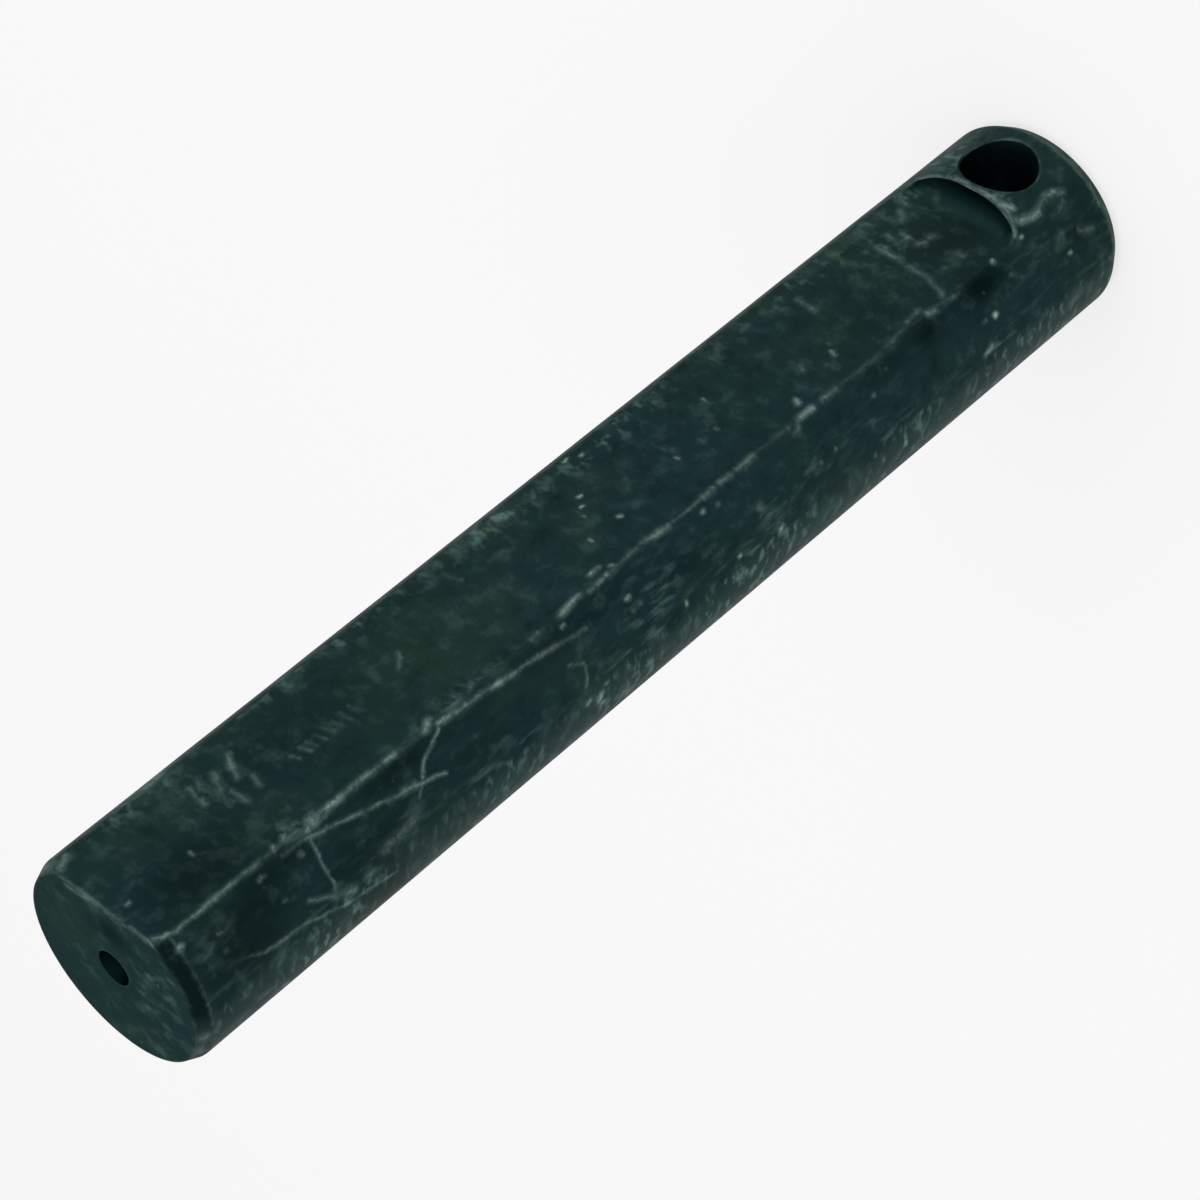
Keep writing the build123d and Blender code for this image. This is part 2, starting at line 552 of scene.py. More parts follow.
# Broad patches on the skin: height, angle, half length up the pin, half width round it
# in mm, strength
handledPatches = [
    (21, -22, 5, 5, 1),
    (20.5, 12, 3.5, 5, 0.3),
    (24, -36, 12, 1.8, 1.6),
    (23, -27, 2, 2, 1.2),
    (54, -34, 34, 1.5, 1.25),
    (78, -36, 8, 1.8, 1.6),
    (96, -37, 18, 1.1, 0.9),
    (117, -18, 5, 4, 0.6),
    (121, -38, 9, 1.8, 0.8),
    (105, 4, 6, 1.8, 0.2),
    (96, 0, 4, 4, 0.3),
    (80, -16, 4, 3, 0.5),
    (58, 8, 10, 3, 0.5),
    (40, 17, 6, 3, 0.4),
    (92, 39, 8, 1.3, 1),
    (115, 37, 3, 2, 0.9),
    (55, 39.4, 28, 0.8, 0.4),
    (8, 60, 7, 5, 0.5),
    (8, -34, 6, 4.5, 1.8),
    (11.2, 22, 1.1, 2.6, 1.3),
    (48, 68, 9, 2.2, 0.9),
    (70, 66, 6, 3.5, 0.8),
    (84, 74, 12, 1.6, 0.6),
    (81, 90, 3, 3.5, 1.7),
    (48, 97, 14, 3, 2),
    (74, 98, 10, 1.6, 1.9),
    (106, 74, 3.5, 2.5, 0.4),
    (114, 78, 3, 2.5, 0.8),
    (127, 60, 3, 3.5, 0.5),
]
olivePatches = [
    (90, 6, 9, 6, 0.7),
    (24, -34, 4.5, 2.2, 1),
    (122, -20, 5, 3, 0.6),
    (6, -40, 5, 3.5, 0.8),
    (37, -38, 10, 1.6, 0.6),
    (78, -36, 10, 2.2, 0.7),
    (115, 26, 3.5, 2.5, 0.6),
    (91, 52, 5, 2, 0.4),
    (107, 88, 7, 3, 0.5),
    (110, 103, 7, 4, 0.8),
    (48, 92, 12, 3, 0.4),
]
darkPatches = [
    (104, 47, 5, 1.2, 0.7),
    (109, 53, 5, 1.6, 0.35),
    (123, 56, 6, 3, 0.65),
    (20, 46.5, 4, 1.7, 0.95),
    (28.5, 47, 2.8, 1.5, 0.8),
    (34, 47, 6, 1.4, 0.4),
    (66, 60, 3, 2, 0.35),
    (95, 64, 6, 2.2, 0.35),
    (124, 24, 7, 4, 0.65),
    (18, 12, 5, 5, 0.4),
    (31, 20, 7, 3, 0.3),
    (108, -8, 8, 4, 0.35),
    (20, 36, 4, 1.5, 0.3),
    (80, 48, 9, 1.6, 0.4),
    (96, 50, 6, 1.4, 0.3),
    (110, 68, 8, 2.6, 0.45),
    (120, 47, 8, 1.8, 0.6),
    (125, 68, 6, 3, 0.65),
    (5, 58, 5, 3, 0.4),
    (110, 103, 6, 4, 0.55),
]
# The same on the top face: across towards the lower edge, up to the flat
faceHandledPatches = [
    (5.5, -1.5, 4, 7, 1.1),
    (1, 8.3, 5.5, 0.7, 1),
    (-6.5, 5.5, 2, 2, 0.7),
]
faceOlivePatches = [
    (-6, 2.5, 3, 5, 1),
    (-3.5, -4, 2.5, 2, 0.8),
    (3, -8, 4, 2, 0.8),
]
faceDarkPatches = [
    (-6, -7, 3.5, 2, 0.5),
    (-3, -3.6, 2, 1, 0.4),
    (0.5, 5.2, 3.5, 1.9, 1),
]


def spread(skinPatches, facePatches):
    amount = np.zeros(len(sheet))
    places = [(acrossSheet(a), z, w, h, strength) for z, a, h, w, strength in skinPatches]
    places += [(besideSheet + x, y, w, h, strength) for x, y, w, h, strength in facePatches]
    for across, up, halfAcross, halfUp, strength in places:
        away = ((sheet[:, 0] - across) / halfAcross) ** 2 + ((sheet[:, 1] - up) / halfUp) ** 2
        amount = np.maximum(amount, strength * np.exp(-away))
    return amount


def ramp(values, low, high):
    share = np.clip((values - low) / (high - low), 0, 1)
    return share * share * (3 - 2 * share)


# The round side carries the gears, so it is rubbed most, and the foot's rim is knocked
# and rubbed all round. Past 1, this rubbing also lightens the coat in the materials,
# which on the round side is painted sheen. The flat's root is never rubbed, and it is
# darkened as painted shade: the shade that falls in its hollow beside the shoulder's wall.
rubbing = {
    "least": 0.13,
    "carryingAndSheen": 1.5,
    "carryingFrom": (66, 94),  # degrees off the flat's middle, over which it comes in
    "behindFrom": (108, 132),  # over which it gets weaker by 1
    "footRim": 1.7,
    "footRimOlive": 0.7,
    "footRimHeights": (1.2, 2.4),
    "rootSlack": 0.02,
    "rootShade": (0.15, 2.6),  # starts this far up the shoulder, and fades over this much
    "wallShade": (0.1, 1.5),  # mm from the shoulder's crease
    "lessAtEdge": 0.6,
    "edgeFrom": (34, 39),  # degrees
}
offFlat = np.abs((cornerAngle + 180) % 360 - 180)
behind = ramp(offFlat, *rubbing["behindFrom"])
# the round side from 66 degrees on, weaker behind: rub marks, and past 1 the painted sheen that
# side catches
carryingAndSheen = ramp(offFlat, *rubbing["carryingFrom"]) * (rubbing["carryingAndSheen"] - behind) * isSkin
footRim = (1 - ramp(cornerZ, *rubbing["footRimHeights"])) * isSkin
handled = np.maximum(spread(handledPatches, faceHandledPatches), rubbing["least"])
handled = np.maximum(np.maximum(handled, carryingAndSheen), rubbing["footRim"] * footRim)
# painted shade in the flat's hollow root: darkest beside the shoulder's wall and low in the
# root, fading up the flat and towards its edges; nothing is rubbed there
fromCrease = cornerZ - creaseHeight(cornerAngle)
inRoot = isSkin & (fromCrease > -rubbing["rootSlack"])
rootStart, rootFade = rubbing["rootShade"]
upRoot = np.clip((cornerZ - pinBody["shoulderHeight"] - rootStart) / rootFade, 0, 1)
besideWall = 1 - ramp(fromCrease, *rubbing["wallShade"])
atEdge = ramp(np.abs(cornerAngle), *rubbing["edgeFrom"])
besideWall = besideWall * (1 - rubbing["lessAtEdge"] * atEdge)
paintedRootShade = np.maximum((1 - upRoot) ** 2, besideWall)
paintedRootShade = paintedRootShade * inRoot * (np.abs(cornerAngle) < flatEdge)
handled = handled * (1 - paintedRootShade) * (kinds != centreFace) * (kinds != lockBoreFace)
olive = np.maximum(spread(olivePatches, faceOlivePatches), rubbing["footRimOlive"] * footRim)
dark = np.maximum(spread(darkPatches, faceDarkPatches), paintedRootShade)
# the centre drilling is painted fully dark: painted shade inside that hole
dark = np.where(kinds == centreFace, 1.0, dark)
casts = np.stack([handled, olive, dark], 1)  # the materials read them as X, Y and Z


def addAttribute(name, domain, values):
    values = np.asarray(values, np.float32)
    kind = "FLOAT" if values.ndim == 1 else "FLOAT_VECTOR"
    attribute = pinMesh.attributes.new(name, kind, domain)
    attribute.data.foreach_set("value" if values.ndim == 1 else "vector", values.ravel())


addAttribute("sheet", "CORNER", sheet)
addAttribute("ridgeDistance", "POINT", ridgeDistance)
addAttribute("ridgeWear", "POINT", ridgeWear)
addAttribute("casts", "CORNER", casts)
pinMesh.polygons.foreach_set("material_index", finish)
for vertex in pinMesh.vertices:
    vertex.co *= millimetre
pinMesh.shade_smooth()
pinMesh.set_sharp_from_angle(angle=math.radians(pinBody["sharpAngle"]))
pin = addObject("pin_body", pinMesh)
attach(pin, "root")
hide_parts("differential_pin")
print("surface coordinates, wear and finishes stored")

# Marks seen on the pin: width, strength, then (height, angle) points
brightMarks = [
    # worn line down the lower edge of the flat
    (0.34, 0.22, (22.5, 42), (26, 40)),
    (0.3, 0.2, (28, 37.5), (32, 38.5), (36, 40)),
    (0.3, 0.24, (36, 40), (41, 39.5)),
    (0.42, 0.85, (41.3, 39.2), (43.3, 39.4)),
    (0.42, 0.95, (45, 39.2), (47, 39.6)),
    (0.35, 0.6, (47, 40), (48.3, 44.5)),
    (0.4, 0.55, (48.5, 39.4), (50, 39.4)),
    (0.25, 0.25, (50, 39.4), (53.5, 39.4)),
    (0.4, 0.6, (53.5, 39.2), (56, 39.6)),
    (0.4, 0.6, (57, 39.4), (58.5, 39.2)),
    (0.4, 0.55, (59.5, 39.4), (61, 39.2)),
    (0.25, 0.3, (61, 39.4), (66, 39.4)),
    (0.4, 0.9, (66, 39.5), (69, 37.5)),
    (0.3, 0.6, (69, 37.5), (73, 39), (77, 39.4)),
    (0.35, 0.5, (74, 33.5), (75.5, 33.5)),
    (0.4, 0.9, (78, 37.5), (81, 40)),
    (0.3, 0.35, (84, 39), (85, 39)),
    (0.4, 0.7, (98.2, 38), (99.2, 41)),
    (0.3, 0.35, (100.5, 41), (103.5, 41)),
    (0.38, 0.75, (103, 40.5), (106, 40.2)),
    (0.38, 1.1, (106, 40.2), (109, 40.2), (112, 40)),
    (0.6, 1.5, (112.8, 39.4), (113.4, 40.2)),
    (0.5, 0.4, (116.2, 37.5), (116.5, 39)),
    (0.45, 0.4, (117.6, 38), (117.9, 39.4)),
    (0.4, 0.5, (120.3, 45.5), (120.7, 46)),
    (0.3, 0.7, (111.6, 41.6), (112.2, 42.4)),
    (0.3, 0.6, (113.9, 42), (114.3, 43)),
    (0.3, 0.35, (115, 39.5), (116.5, 39.5)),
    (0.3, 0.3, (117, 39.5), (119.5, 39.5)),
    (0.34, 0.65, (119.5, 39.5), (124, 39.3), (129.5, 39.5)),
    (0.34, 0.7, (129.5, 39.5), (130.8, 38), (131.5, 36)),
    (0.5, 0.9, (26.4, 40.6), (27.2, 39.6)),
    (0.4, 0.5, (27.6, 35.6), (29.6, 36.6)),
    (0.35, 0.4, (23.4, 41.6), (24, 41.6)),
    # long scratches on the round below it
    (0.25, 0.6, (99.5, 64), (104, 58), (108, 53), (112, 48), (114.5, 45), (117.5, 44)),
    (0.24, 0.6, (98, 45), (101, 52), (102, 58)),
    (0.22, 0.35, (102, 58), (103.2, 66)),
    (0.7, 0.4, (103.6, 68), (105, 73), (108.5, 75)),
    (0.22, 0.55, (114.5, 46), (114.8, 60), (114.5, 72), (114.6, 77)),
    (0.7, 0.6, (112.8, 83), (114.6, 78)),
    (0.3, 0.5, (115, 77), (117.5, 70)),
    (0.24, 0.55, (107.5, 94), (111, 90), (114.5, 86), (117, 82), (118.5, 79), (121, 77.5)),
    (0.24, 0.5, (121, 77.5), (123.5, 76.5)),
    (0.2, 0.3, (123.5, 76.5), (126, 70)),
    (0.26, 0.35, (79.5, 52), (83, 50.5)),
    (0.3, 0.6, (83, 50.5), (86.5, 48), (90, 46)),
    (0.36, 1, (90, 46), (91.2, 45.5)),
    (0.3, 0.55, (91.2, 45.5), (92.6, 44.8)),
    (0.38, 1.1, (92.6, 44.8), (93.6, 44.3)),
    (0.34, 0.85, (93.6, 44.3), (97.8, 43)),
    (0.24, 0.4, (83, 62), (81.3, 66), (81.5, 73), (82, 78)),
    (0.5, 0.45, (103, 58.8), (104.3, 57.4)),
    # on the flat
    (0.42, 0.5, (22.8, -20), (22.9, 0), (23.2, 24), (23.9, 35), (24.5, 38)),
    (0.45, 0.8, (33.7, -26), (34, -12)),
    (0.5, 0.5, (20.6, -22), (20.9, -12)),
    (0.4, 0.35, (19.6, -17), (19.7, -12)),
    (0.6, 0.5, (15.6, -33), (15.8, -30.5)),
    (0.5, 0.4, (17, -29), (18, -24)),
    (0.5, 0.45, (17.6, 3), (18.2, 0)),
    (0.45, 0.4, (19.2, 0), (19.9, -2)),
    (0.55, 0.55, (18.1, 23.5), (18.3, 26.5)),
    (0.5, 0.4, (19.8, 28.4), (20.9, 26.3)),
    (0.5, 0.9, (37.5, 22), (37.7, 24)),
    (0.35, 0.4, (36.8, 15), (36.8, 17)),
    (0.35, 0.7, (41, 15), (41.3, 18)),
    (0.55, 0.5, (45.2, 31), (45.4, 33)),
    (0.4, 0.4, (53, 11), (53, 13)),
    (0.4, 0.4, (58.5, 9), (58.5, 11)),
    (0.4, 0.4, (50.7, -13), (50.7, -11)),
    (0.3, 0.5, (70, -1), (70, 1)),
    (0.3, 0.5, (72, 16), (72, 18)),
    (0.35, 0.3, (78, -18), (80, -18)),
    (0.3, 0.3, (84, -30), (83.5, -20)),
    (0.3, 0.3, (94, -8), (95.3, 2)),
    (0.4, 0.6, (112.7, -26), (113.6, -18)),
    (0.35, 0.3, (113.6, -18), (114.2, -10)),
    (0.45, 0.55, (115.1, -22), (116, -12)),
    (0.35, 0.3, (116.5, -26), (117.2, -20)),
    (0.4, 0.5, (117.7, -25), (118.1, -10)),
    (0.4, 0.35, (113, -3), (113.4, 4)),
    (0.4, 0.35, (115.5, -5), (115.4, 6)),
    (0.4, 0.5, (122.8, 11), (122.8, 13)),
    (0.5, 0.45, (130.2, -38), (131.4, -35)),
    # the next two, wide bands along the top chamfer at 131.3 mm, are painted reflection: where
    # the chamfer catches light
    (1.3, 0.5, (131.3, -44), (131.3, -72)),
    (0.9, 0.45, (131.3, 100), (131.3, 114)),
    (0.3, 0.3, (107, -38), (109, -38)),
    (1.5, 0.85, (118, -43), (121.2, -43)),
    # on the round side
    (0.35, 0.5, (73, 61), (74, 62)),
    (0.35, 0.5, (68, 78), (68, 80)),
    (0.6, 0.9, (54.1, 81), (54.3, 83)),
    (0.4, 0.5, (60, 87), (60.6, 91)),
    (0.4, 0.45, (33, 83), (36, 83)),
    (0.4, 0.5, (35.5, 93), (35.5, 95)),
    (0.4, 0.85, (21.6, 78), (22.6, 80.5)),
    (0.5, 0.6, (7.8, 51.7), (9, 57)),
    (0.45, 0.75, (3.8, 60.3), (5.3, 57.2)),
    (0.9, 0.45, (7.6, 92), (8.4, 94)),
    (0.3, 0.4, (15, 56), (16, 52)),
    (0.7, 0.5, (80.4, 91), (80.6, 93)),
    (0.4, 0.4, (81.9, 88), (82.2, 89)),
    (0.4, 0.4, (80, 97), (80.4, 98)),
    # round the lock hole and along the shoulder
    (0.4, 0.55, (12.5, -35), (12, -29), (11.75, -22), (11.7, -10), (11.7, 10)),
    (0.4, 0.65, (11.6, 6), (11.5, 18), (11.6, 26), (12.1, 32), (13, 37.5)),
    (0.5, 0.9, (10.8, 25), (11.6, 20)),
    (0.4, 0.8, (11.3, 14), (11.8, 11)),
    (0.7, 0.3, (10.9, 26), (11.5, 31), (11.1, 33)),
    (0.55, 0.9, (11.6, 32), (11.1, 33.2), (9.8, 35.4), (8.8, 35.9), (7.8, 33.2)),
    (0.5, 1.25, (7.8, 33.2), (6.6, 31.8), (5.5, 33.2), (4.8, 35.9)),
    (0.45, 0.35, (4.8, 35.9), (5.2, 38.5), (5.7, 40.6), (7.4, 42.6)),
]
# Dots seen on it: width, strength, height, angle
brightDots = [
    (0.45, 0.9, 73.2, 37),
    (0.45, 0.9, 74.3, 39),
    (0.42, 0.8, 81.4, 44.5),
    (0.45, 1.1, 17, 40.5),
    (0.35, 0.6, 12.4, 40),
    (0.5, 0.9, 130.3, 47),
    (0.35, 0.7, 68.4, -14),
    (0.3, 0.6, 69.3, -7),
    (0.42, 1, 67.8, 17),
    (0.35, 0.5, 75.3, 33),
    (0.4, 0.5, 130.3, 11),
    (0.5, 1, 65.5, -38),
    (0.4, 0.6, 64, -34),
    (0.42, 0.8, 116, 49),
    (0.35, 0.4, 120, 46),
    (0.35, 0.4, 119.6, 61),
    (0.4, 0.4, 126.5, 53),
    (0.4, 0.4, 126.7, 62),
    (0.45, 0.9, 74, 54.5),
    (0.55, 0.6, 56, 62),
    (0.4, 0.5, 55.8, 84),
    (0.4, 0.6, 60.2, 77),
    (0.4, 0.5, 60, 47),
    (0.4, 0.5, 62, 45),
    (0.4, 0.5, 38, 55),
    (0.5, 1, 20, 64),
    (0.35, 0.4, 21.5, 63),
    (0.4, 0.5, 7.8, 64),
    (0.4, 0.4, 79.5, 86),
]
dotHalfLength = 0.1
for width, strength, height, angle in brightDots:
    dotEnds = ((height - dotHalfLength, angle), (height + dotHalfLength, angle))
    brightMarks.append((width, strength, *dotEnds))
# A row of short dashes across the flat
for dashHeight in (101.2, 102.4, 103.4, 104.5, 105.6, 106.7, 107.6, 108.8):
    brightMarks.append((0.3, 0.4, (dashHeight, 8), (dashHeight + 0.3, 1)))
# Faint scratches on the sides that the photograph doesn't show
faintScratches = {
    "count": 12,
    "heights": (8, 118),
    "angles": ((122, 165), (-165, -60)),
    "rise": (1.5, 9),
    "turn": (-14, 14),
    "widths": (0.18, 0.3),
    "strengths": (0.4, 0.7),
}
for scratchNumber in range(faintScratches["count"]):
    height = random.uniform(*faintScratches["heights"])
    angle = random.choice([random.uniform(*span) for span in faintScratches["angles"]])
    endHeight = height + random.uniform(*faintScratches["rise"])
    endAngle = angle + random.uniform(*faintScratches["turn"])
    width = random.uniform(*faintScratches["widths"])
    strength = random.uniform(*faintScratches["strengths"])
    brightMarks.append((width, strength, (height, angle), (endHeight, endAngle)))
# On the top face: width, strength, then (across towards the lower edge, up to the flat)
topBrightMarks = [
    (0.5, 0.7, (-2.3, 8.1), (-0.9, 8.25)),
    (0.45, 0.35, (-4.5, 7.9), (-2.3, 8.1)),
    (0.4, 0.35, (0.5, 8.3), (4.5, 8.25), (6.4, 8.0)),
]

# Each run of a mark is drawn as a band, and each face of the mesh is told the few bands
# that come nearest to it, because a material that draws them all takes too long
markBands = {
    "perFace": 3,
    "spread": 1.9,  # marks fade out to this much wider than their listed width
    "dotLength": 0.5,  # mm, and shorter marks are dots, smaller and brighter than a line
    "dotSpread": 1.3,
    "dotStrength": 1.9,
    "wander": (0.8, 0.8, 0.0),  # mm that slow noise moves a mark by, end to end
    "jitter": (0.26, 0.26, 0.0),  # mm that fine noise does, which roughens its sides
    "reach": 0.5,  # mm aside that the two can take it
}
onSheet = (1.0, 1.0, 0.0)  # keeps a place on the unrolled sheet
runs = []
for width, strength, *stops in brightMarks:
    run = [(float(acrossSheet(angle)), height) for height, angle in stops]
    runs += [(width, strength, a, b) for a, b in zip(run, run[1:])]
for width, strength, *stops in topBrightMarks:
    run = [(besideSheet + across, up) for across, up in stops]
    runs += [(width, strength, a, b) for a, b in zip(run, run[1:])]
cornerPlace = sheet[:, :2].astype(float)
faceMiddle = np.add.reduceat(cornerPlace, faceStarts) / faceSizes[:, None]
faceReach = np.linalg.norm(cornerPlace - faceMiddle[cornerFace], axis=1)
faceReach = np.maximum.reduceat(faceReach, faceStarts)
bandStarts = [(0, 0, 1)]  # the first band is no mark: (across, up, width)
bandRuns = [(1, 0, 0)]  # (across, up, square root of its strength)
nearness = np.zeros((markBands["perFace"], len(faces)))
faceBands = np.zeros((markBands["perFace"], len(faces)), int)
for width, strength, start, end in runs:
    run = np.subtract(end, start)
    isDot = np.hypot(*run) < markBands["dotLength"]
    wide = width * markBands["dotSpread" if isDot else "spread"]
    root = math.sqrt(strength * (markBands["dotStrength"] if isDot else 1.0))
    fromStart = faceMiddle - start
    share = np.clip(fromStart @ run / (run @ run), 0, 1)
    aside = np.linalg.norm(fromStart - share[:, None] * run, axis=1)
    near = root * (1 - aside / (wide + markBands["reach"] + faceReach))
    band = np.full(len(faces), len(bandStarts))
    bandStarts.append((*start, wide))
    bandRuns.append((*run, root))
    for slot in range(markBands["perFace"]):
        kept = nearness[slot].copy()
        keptBand = faceBands[slot].copy()
        nearness[slot] = np.maximum(near, kept)
        faceBands[slot] = np.where(near > kept, band, keptBand)
        band = np.where(near > kept, keptBand, band)
        near = np.minimum(near, kept)
for slot in range(markBands["perFace"]):
    cornerBand = faceBands[slot][cornerFace]
    addAttribute(f"bandStart{slot}", "CORNER", np.array(bandStarts)[cornerBand])
    addAttribute(f"bandRun{slot}", "CORNER", np.array(bandRuns)[cornerBand])
print("marks:", len(runs), "bands, and", markBands["perFace"], "of them told to each face")


def drawMarks(add, place):
    strongest = 0.0
    for slot in range(markBands["perFace"]):
        start = add("Attribute", attribute_name=f"bandStart{slot}").outputs["Vector"]
        run = add("Attribute", attribute_name=f"bandRun{slot}").outputs["Vector"]
        wide = add("SeparateXYZ", start).outputs["Z"]
        root = add("SeparateXYZ", run).outputs["Z"]
        run = add("VectorMath MULTIPLY", run, onSheet)
        start = add("VectorMath MULTIPLY", start, onSheet)
        fromStart = add("VectorMath SUBTRACT", place, start)
        gone = add("VectorMath DOT_PRODUCT", fromStart, run)
        whole = add("VectorMath DOT_PRODUCT", run, run)
        share = add("Math DIVIDE", gone, whole, use_clamp=True)
        nearest = add("VectorMath SCALE", run, share)
        aside = add("VectorMath DISTANCE", fromStart, nearest)
        drawn = add("MapRange", aside, 0.0, wide, root, 0.0)
        strongest = add("Math MAXIMUM", strongest, drawn)
    return add("Math POWER", strongest, 2.0)


# Black oxide on steel, oiled, then handled: a thin satin coat, teal black with blue and
# olive casts, rubbed through to grey steel at its edges
blackOxide = {
    "teal": "#1c3231",
    "blue": "#1b3034",
    "olive": "#26382f",
    "deep": "#061314",
    "rubbedCoat": "#55706a",
    "bareSteel": "#93aea4",
    "metallic": 1.0,
    "roughness": 0.5,
    "roughnessSpread": 0.2,
    "bareRoughness": 0.4,
    "cloudSize": 12.0,  # mm across a cloud of colour in the coat
    "mottleSize": 2.6,
    "grainSize": 0.5,  # coarser than the real grain, which is too fine to show
    "speckSpacing": 2.3,
    "mottleRelief": 0.03,  # mm high
    "grainRelief": 0.01,
    "lineRelief": 0.006,
}

# What each way of making the surface gives the eye. The lines are mm apart along each
# axis, drawn coarser than the real ones, which are too fine to show. The rubbing is how
# the rub marks lean, and their length along each axis in mm: those from handling, then
# those from the gears.
oiledEdge = (0.62, 0.655, 0.64, 1.0)  # the oiled coat stays dark until the very edge
steelFinishes = {
    "ground": {
        "name": "blackOxideGroundSteel",
        "lines": (9.0, 9.0, 0.35),
        "rubbing": (((0.2, 0.15, 0.0), (0.9, 0.9, 2.6)), ((0.5, 0.45, 0.0), (1.8, 1.8, 0.9))),
        "deep": 0.0,
        "edgeTint": oiledEdge,
    },
    "milled": {
        "name": "blackOxideMilledSteel",
        "lines": (0.35, 0.35, 12.0),
        "rubbing": (((0.0, 0.0, 0.0), (1.5, 1.3, 1.1)),),
        "deep": 0.0,
        "edgeTint": oiledEdge,
    },
    "chamfer": {
        "name": "blackOxideTurnedChamfer",
        "lines": (9.0, 9.0, 0.25),
        "rubbing": None,
        # painted shade: the chamfer is darkened all round, standing in for the dark reflection
        # its facet shows
        "deep": 0.8,
        "edgeTint": oiledEdge,
    },
    "face": {
        "name": "blackOxideTurnedFace",
        "lines": None,
        "rubbing": (((0.0, 0.0, 0.8), (2.0, 1.4, 1.0)),),
        "deep": 0.3,
        "edgeTint": (0.51, 0.58, 0.57, 1.0),
    },
    "drilled": {
        "name": "blackOxideDrilledSteel",
        "lines": (9.0, 0.3, 0.5),
        "rubbing": None,
        "deep": 0.0,
        "edgeTint": (0.25, 0.28, 0.28, 1.0),
    },
}
faceRingSpacing = 0.4  # mm between the turning rings of the end faces


